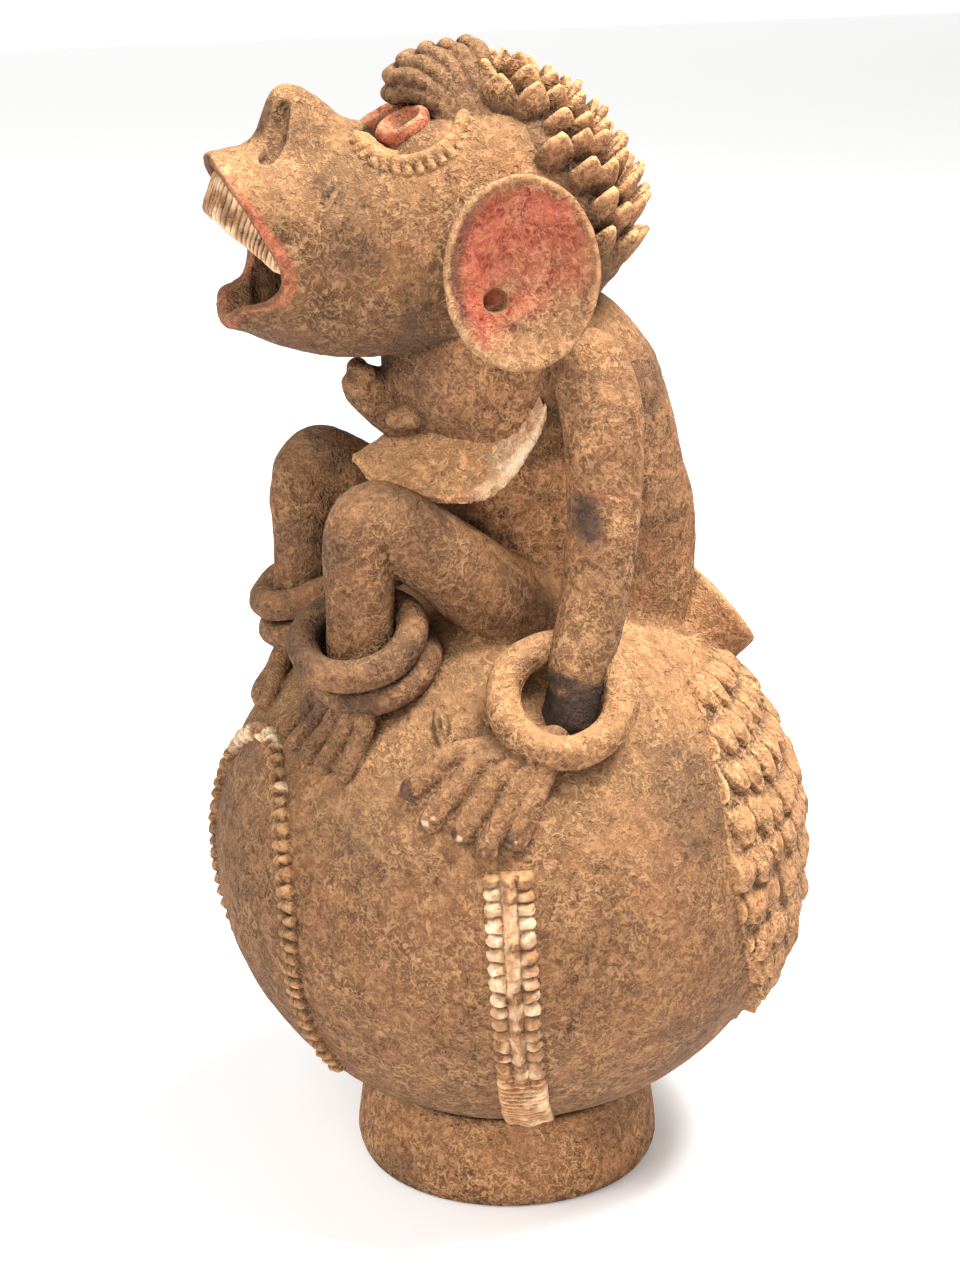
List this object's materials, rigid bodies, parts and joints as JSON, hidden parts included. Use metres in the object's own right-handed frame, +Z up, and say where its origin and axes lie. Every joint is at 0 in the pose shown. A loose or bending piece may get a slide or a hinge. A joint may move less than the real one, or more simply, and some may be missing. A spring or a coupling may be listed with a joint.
{
  "type": "monkey effigy vessel",
  "caption": "Round earthenware jar with a seated monkey figure, open mouth, spiky hair and clay bands, on a loose ring stand.",
  "frame": {"origin": "middle of the ring stand's foot, on the surface that it stands on", "axes": "+Z up, -Y the way the monkey faces, +X the monkey's left side"},
  "size_m": [0.3316, 0.336, 0.6437],
  "materials": {
    "clay": "unglazed, mottled brown earthenware",
    "pale_clay": "unglazed, dusty light brown earthenware",
    "dark_clay": "unglazed, darker brown earthenware",
    "red_ochre": "earthenware with worn red ochre pigment",
    "white_paint": "earthenware with worn white pigment"
  },
  "bodies": {
    "stand": {"ring_stand": "dark_clay"},
    "vessel": {"torso": "clay", "chest": "pale_clay", "throat": "dark_clay", "throat_lug": "dark_clay", "head": "clay", "teeth_plate": "white_paint", "nose": "clay", "hair_cap": "clay", "crest_locks": "pale_clay", "jar_lower_bowl": "clay", "jar_upper_dome": "clay", "spout_collar": "clay", "front_loop": "pale_clay", "back_scale_band": "clay", "eye_left": "red_ochre", "eye_right": "red_ochre", "lashes_left": "pale_clay", "lashes_right": "pale_clay", "ear_left": "red_ochre", "ear_right": "red_ochre", "arm_left": "clay", "arm_right": "clay", "hand_left": "clay", "hand_right": "clay", "leg_left": "clay", "leg_right": "clay", "foot_left": "clay", "foot_right": "clay", "wrist_ring_left": "pale_clay", "wrist_ring_right": "pale_clay", "ankle_ring_upper_left": "clay", "ankle_ring_upper_right": "clay", "ankle_ring_lower_left": "clay", "ankle_ring_lower_right": "clay", "side_strip_left": "white_paint", "side_strip_right": "white_paint", "leaf_patch_left": "clay", "leaf_patch_right": "clay"}
  },
  "joints": [
    {"name": "vessel_lift", "type": "slide", "parent": "stand", "child": "vessel", "axis": [0, 0, 1], "range_m": [0, 0.07]}
  ]
}
